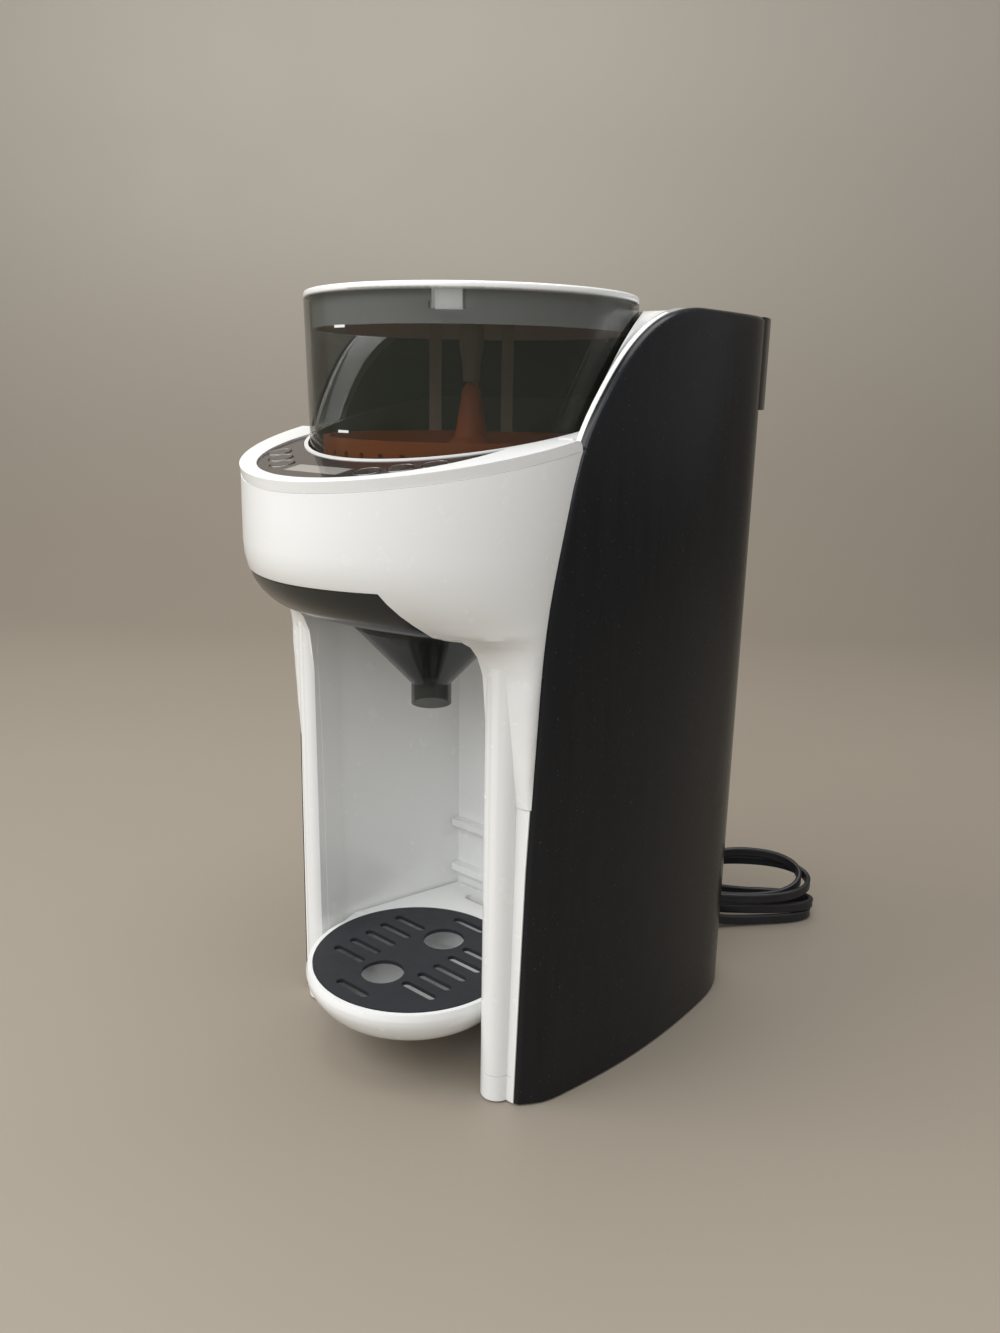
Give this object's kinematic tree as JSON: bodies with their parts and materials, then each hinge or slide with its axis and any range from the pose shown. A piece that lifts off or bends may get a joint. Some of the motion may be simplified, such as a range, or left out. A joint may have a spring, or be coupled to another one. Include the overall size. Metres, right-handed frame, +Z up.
{
  "type": "formula dispenser",
  "caption": "Countertop infant formula dispenser with lift-off powder hopper and water tank, dosing wheel, pull-out mixing funnel, control buttons and drip tray.",
  "frame": {"origin": "middle of the object's footprint on the surface that it stands on", "axes": "+Z up, front (the nozzle and tray side) towards -Y, +X towards the side that the latch tab is on"},
  "size_m": [0.1966, 0.3522, 0.37],
  "materials": {
    "white_shell": "satin moulded",
    "foot_plastic": "satin moulded",
    "foot_rubber": "matte",
    "black_panel": "piano gloss",
    "control_gloss": "piano gloss",
    "display_glass": "clear",
    "button_gloss": "gloss",
    "hopper_smoke": "smoke tinted",
    "lid_gloss": "gloss",
    "scraper_grey": "satin",
    "floor_grey": "satin",
    "wheel_orange": "satin moulded",
    "funnel_smoke": "smoke tinted",
    "mat_rubber": "matte",
    "tank_clear": "clear",
    "inner_plastic": "satin",
    "gear_plastic": "satin",
    "motor_steel": "plated",
    "screw_steel": "zinc plated",
    "heater_metal": "cast",
    "hose_rubber": "silicone, matte",
    "board_green": "resist coated",
    "cord_black": "satin",
    "blade_brass": "plated"
  },
  "bodies": {
    "base": {"front_housing": "white_shell", "body_shell": "white_shell", "cowl": "white_shell", "top_bezel": "white_shell", "hopper_collar": "white_shell", "bay_liner": "white_shell", "foot_cap_right": "foot_plastic", "foot_cap_left": "foot_plastic", "pad_front_right": "foot_rubber", "pad_front_left": "foot_rubber", "pad_rear_right": "foot_rubber", "pad_rear_left": "foot_rubber", "side_panel_right": "black_panel", "side_panel_left": "black_panel", "control_face": "control_gloss", "display_window": "display_glass", "powder_chute": "inner_plastic", "water_spout": "inner_plastic", "tank_dock": "inner_plastic", "base_plate": "inner_plastic", "gear_deck": "inner_plastic", "gear_motor": "motor_steel", "water_pump": "motor_steel", "base_screw_1": "screw_steel", "base_screw_2": "screw_steel", "heater_block": "heater_metal", "suction_hose": "hose_rubber", "pressure_hose": "hose_rubber", "outlet_hose": "hose_rubber", "power_board": "board_green", "control_board": "board_green", "cord_gland": "cord_black", "power_cord": "cord_black", "cord_tail": "cord_black", "cord_coil": "cord_black", "plug_body": "cord_black", "plug_blades": "blade_brass"},
    "hopper": {"powder_hopper": "hopper_smoke", "hopper_floor": "floor_grey"},
    "lid": {"hopper_lid": "lid_gloss", "lid_latch": "hopper_smoke", "lid_scraper": "scraper_grey"},
    "wheel": {"powder_wheel": "wheel_orange"},
    "gear": {"drive_gear": "gear_plastic"},
    "pinion": {"motor_pinion": "gear_plastic"},
    "funnel": {"funnel_cover": "funnel_smoke", "mixing_funnel": "funnel_smoke", "funnel_spout": "funnel_smoke"},
    "tray": {"drip_tray": "white_shell"},
    "mat": {"tray_mat": "mat_rubber"},
    "tank": {"water_tank": "tank_clear", "tank_lid": "black_panel", "tank_valve": "inner_plastic"},
    "flap": {"fill_flap": "black_panel"},
    "key_right_1": {"button_right_1": "button_gloss"},
    "key_right_2": {"button_right_2": "button_gloss"},
    "key_right_3": {"button_right_3": "button_gloss"},
    "key_left_1": {"button_left_1": "button_gloss"},
    "key_left_2": {"button_left_2": "button_gloss"},
    "key_left_3": {"button_left_3": "button_gloss"}
  },
  "joints": [
    {"name": "hopper_lift", "type": "slide", "parent": "base", "child": "hopper", "axis": [0, 0, 1], "range_m": [0, 0.1]},
    {"name": "lid_lift", "type": "slide", "parent": "hopper", "child": "lid", "axis": [0, 0, 1], "range_m": [0, 0.08]},
    {"name": "wheel_spin", "type": "hinge", "parent": "hopper", "child": "wheel", "pos_m": [0, -0.0123, 0.29], "axis": [0, 0, 1], "continuous": true},
    {"name": "gear_spin", "type": "hinge", "parent": "base", "child": "gear", "pos_m": [0, -0.0123, 0.272], "axis": [0, 0, 1], "continuous": true},
    {"name": "pinion_spin", "type": "hinge", "parent": "base", "child": "pinion", "pos_m": [0, 0.0078, 0.272], "axis": [0, 0, 1], "continuous": true},
    {"name": "funnel_slide", "type": "slide", "parent": "base", "child": "funnel", "axis": [0, -1, 0], "range_m": [0, 0.13]},
    {"name": "tray_slide", "type": "slide", "parent": "base", "child": "tray", "axis": [0, -1, 0], "range_m": [0, 0.14]},
    {"name": "mat_lift", "type": "slide", "parent": "tray", "child": "mat", "axis": [0, 0, 1], "range_m": [0, 0.05]},
    {"name": "tank_lift", "type": "slide", "parent": "base", "child": "tank", "axis": [0, 0, 1], "range_m": [0, 0.27]},
    {"name": "flap_hinge", "type": "hinge", "parent": "tank", "child": "flap", "pos_m": [0, 0.112, 0.3633], "axis": [-1, 0, 0], "range_deg": [0, 90]},
    {"name": "key_right_1_press", "type": "slide", "parent": "base", "child": "key_right_1", "axis": [0, 0.2008, -0.9796], "range_m": [0, 0.0008], "stiffness_N_per_m": 300},
    {"name": "key_right_2_press", "type": "slide", "parent": "base", "child": "key_right_2", "axis": [0, 0.2008, -0.9796], "range_m": [0, 0.0008], "stiffness_N_per_m": 300},
    {"name": "key_right_3_press", "type": "slide", "parent": "base", "child": "key_right_3", "axis": [0, 0.2008, -0.9796], "range_m": [0, 0.0008], "stiffness_N_per_m": 300},
    {"name": "key_left_1_press", "type": "slide", "parent": "base", "child": "key_left_1", "axis": [0, 0.2008, -0.9796], "range_m": [0, 0.0008], "stiffness_N_per_m": 300},
    {"name": "key_left_2_press", "type": "slide", "parent": "base", "child": "key_left_2", "axis": [0, 0.2008, -0.9796], "range_m": [0, 0.0008], "stiffness_N_per_m": 300},
    {"name": "key_left_3_press", "type": "slide", "parent": "base", "child": "key_left_3", "axis": [0, 0.2008, -0.9796], "range_m": [0, 0.0008], "stiffness_N_per_m": 300}
  ],
  "couplings": [
    {"joint": "gear_spin", "follows": "wheel_spin", "ratio": 1},
    {"joint": "pinion_spin", "follows": "wheel_spin", "ratio": -2.3333}
  ]
}
